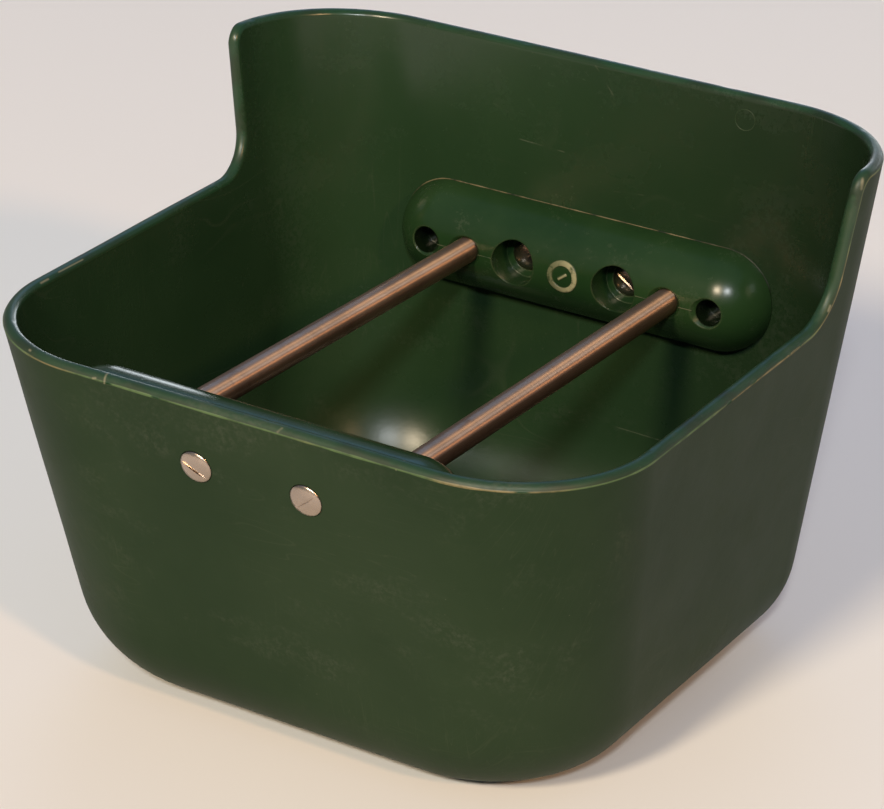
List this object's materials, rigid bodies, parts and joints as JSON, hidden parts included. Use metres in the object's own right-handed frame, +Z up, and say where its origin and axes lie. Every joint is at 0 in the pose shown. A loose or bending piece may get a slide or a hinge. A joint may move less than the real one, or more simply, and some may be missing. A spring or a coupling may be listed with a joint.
{
  "type": "foal feed trough",
  "caption": "Wall-hung moulded feed trough for foals with a raised back, and round steel bars that turn in half-round holders across the bowl.",
  "frame": {"origin": "underside of the base, on the plane of symmetry, midway between the front rim and the back face", "axes": "+X to the right seen from the front, +Y towards the wall it hangs on, +Z up"},
  "size_m": [0.314, 0.308, 0.2395],
  "materials": {
    "tub_plastic": "worn satin with a glossier inside",
    "holder_plastic": "gloss",
    "bar_steel": "polished",
    "fixing_steel": "satin"
  },
  "bodies": {
    "trough": {"tub": "tub_plastic", "rear_bar_holder": "holder_plastic", "front_bar_holder": "holder_plastic", "front_screw_left": "fixing_steel", "front_screw_right": "fixing_steel", "front_washer_left": "fixing_steel", "front_washer_right": "fixing_steel", "front_nut_left": "fixing_steel", "front_nut_right": "fixing_steel", "rear_screw_left": "fixing_steel", "rear_screw_right": "fixing_steel", "rear_washer_left": "fixing_steel", "rear_washer_right": "fixing_steel", "rear_nut_left": "fixing_steel", "rear_nut_right": "fixing_steel"},
    "bar_left": {"bar_left": "bar_steel"},
    "bar_right": {"bar_right": "bar_steel"}
  },
  "joints": [
    {"name": "bar_left_turn", "type": "hinge", "parent": "trough", "child": "bar_left", "pos_m": [-0.0512, 0, 0.143], "axis": [0, 1, 0], "continuous": true},
    {"name": "bar_right_turn", "type": "hinge", "parent": "trough", "child": "bar_right", "pos_m": [0.0512, 0, 0.143], "axis": [0, 1, 0], "continuous": true}
  ]
}
